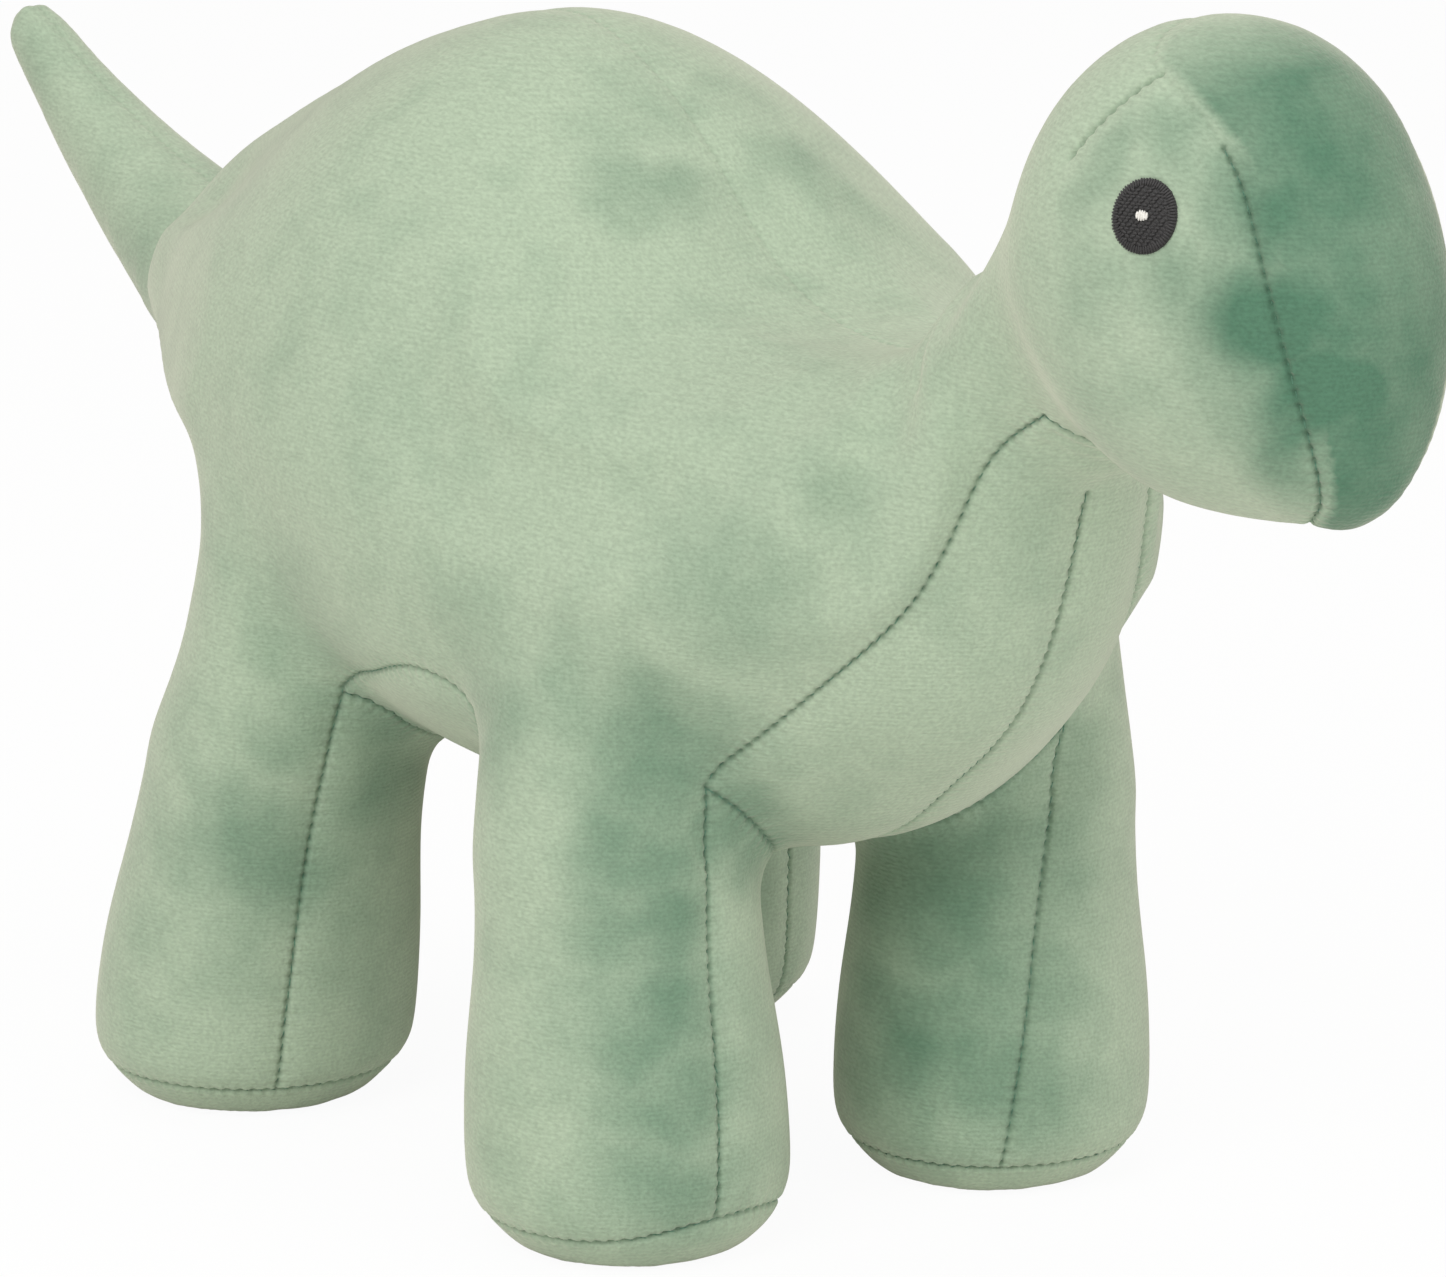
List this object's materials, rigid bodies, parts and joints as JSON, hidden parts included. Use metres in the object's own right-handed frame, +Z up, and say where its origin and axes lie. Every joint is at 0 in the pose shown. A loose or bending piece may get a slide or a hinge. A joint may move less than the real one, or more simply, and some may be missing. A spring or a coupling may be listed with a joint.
{
  "type": "stuffed dinosaur toy",
  "caption": "Standing stuffed long-necked dinosaur of short-pile plush panels round soft stuffing, with embroidered eyes and flexing legs, head and tail.",
  "frame": {"origin": "on the floor under the middle of the toy's outer box", "axes": "+X towards the head, +Y to the toy's left, +Z up"},
  "size_m": [0.4822, 0.1676, 0.2499],
  "materials": {
    "sage_plush": "short velvety pile, sage green",
    "polyester_fibre": "loose white filling",
    "black_thread": "satin-stitched thread",
    "white_thread": "satin-stitched thread"
  },
  "bodies": {
    "trunk": {"trunk_stuffing": "polyester_fibre", "side_panel_left": "sage_plush", "side_panel_right": "sage_plush", "belly_gusset_left": "sage_plush", "belly_gusset_right": "sage_plush"},
    "head": {"head_stuffing": "polyester_fibre", "cheek_panel_left": "sage_plush", "cheek_panel_right": "sage_plush", "face_gusset": "sage_plush", "eye_left": "black_thread", "eye_right": "black_thread", "eye_highlight_left": "white_thread", "eye_highlight_right": "white_thread"},
    "tail": {"tail_stuffing": "polyester_fibre", "tail_panel_left": "sage_plush", "tail_panel_right": "sage_plush"},
    "front_left_leg": {"front_left_leg_stuffing": "polyester_fibre", "front_left_leg_outer_panel": "sage_plush", "front_left_leg_inner_panel": "sage_plush", "front_left_leg_sole": "sage_plush"},
    "front_right_leg": {"front_right_leg_stuffing": "polyester_fibre", "front_right_leg_outer_panel": "sage_plush", "front_right_leg_inner_panel": "sage_plush", "front_right_leg_sole": "sage_plush"},
    "rear_left_leg": {"rear_left_leg_stuffing": "polyester_fibre", "rear_left_leg_outer_panel": "sage_plush", "rear_left_leg_inner_panel": "sage_plush", "rear_left_leg_sole": "sage_plush"},
    "rear_right_leg": {"rear_right_leg_stuffing": "polyester_fibre", "rear_right_leg_outer_panel": "sage_plush", "rear_right_leg_inner_panel": "sage_plush", "rear_right_leg_sole": "sage_plush"}
  },
  "joints": [
    {"name": "front_left_leg_swing", "type": "hinge", "parent": "trunk", "child": "front_left_leg", "pos_m": [0.0635, 0.046, 0.078], "axis": [0, 1, 0], "range_deg": [-15, 15], "stiffness_Nm_per_rad": 1},
    {"name": "front_right_leg_swing", "type": "hinge", "parent": "trunk", "child": "front_right_leg", "pos_m": [0.0635, -0.046, 0.078], "axis": [0, 1, 0], "range_deg": [-15, 15], "stiffness_Nm_per_rad": 1},
    {"name": "rear_left_leg_swing", "type": "hinge", "parent": "trunk", "child": "rear_left_leg", "pos_m": [-0.047, 0.05, 0.078], "axis": [0, 1, 0], "range_deg": [-15, 15], "stiffness_Nm_per_rad": 1},
    {"name": "rear_right_leg_swing", "type": "hinge", "parent": "trunk", "child": "rear_right_leg", "pos_m": [-0.047, -0.05, 0.078], "axis": [0, 1, 0], "range_deg": [-15, 15], "stiffness_Nm_per_rad": 1},
    {"name": "head_nod", "type": "hinge", "parent": "trunk", "child": "head", "pos_m": [0.137, 0, 0.177], "axis": [0, 1, 0], "range_deg": [-15, 12], "stiffness_Nm_per_rad": 1.2},
    {"name": "tail_wag", "type": "hinge", "parent": "trunk", "child": "tail", "pos_m": [-0.15, 0, 0.148], "axis": [0, 0, 1], "range_deg": [-20, 20], "stiffness_Nm_per_rad": 0.3}
  ]
}
